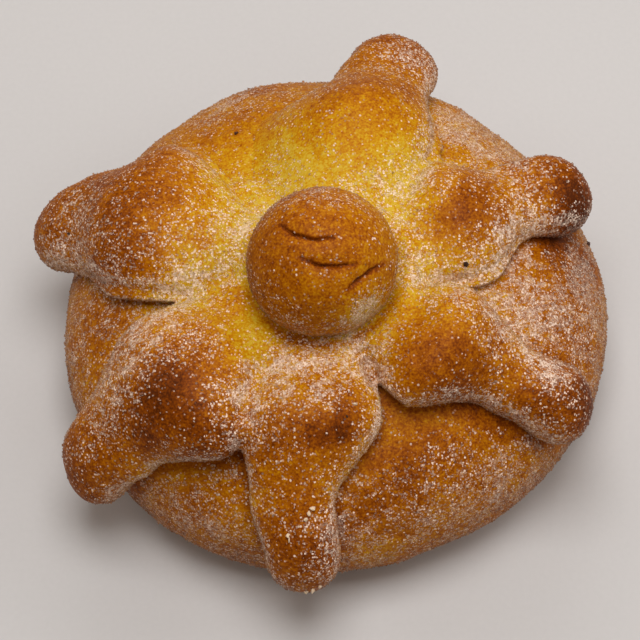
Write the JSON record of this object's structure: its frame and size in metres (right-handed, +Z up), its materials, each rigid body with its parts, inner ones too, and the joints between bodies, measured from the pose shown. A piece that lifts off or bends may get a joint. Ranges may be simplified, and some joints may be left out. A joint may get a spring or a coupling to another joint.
{
  "type": "pan de muerto",
  "caption": "Round sweet bread with bone-shaped dough strips crossing its domed top and a dough ball where they meet, baked brown and sugared all over.",
  "frame": {"origin": "on the surface the bread stands on, at the bottom centre of the whole bread's box", "axes": "+Z up; -Y towards the side with the front bone, which faces the viewer in the picture; +X to that viewer's right"},
  "size_m": [0.1256, 0.13, 0.0699],
  "materials": {
    "loaf_crust": "baked sweet dough, golden brown, rolled in granulated sugar",
    "bone_crust": "baked sweet dough, yellow in the valleys and brown on the bulges, rolled in granulated sugar",
    "ball_crust": "baked sweet dough, even brown with a cracked top, sugared at its lower edge"
  },
  "bodies": {
    "root": {"loaf": "loaf_crust", "bone_back": "bone_crust", "bone_right_back": "bone_crust", "bone_right_front": "bone_crust", "bone_front": "bone_crust", "bone_left_front": "bone_crust", "bone_left_back": "bone_crust", "ball": "ball_crust"}
  },
  "joints": []
}
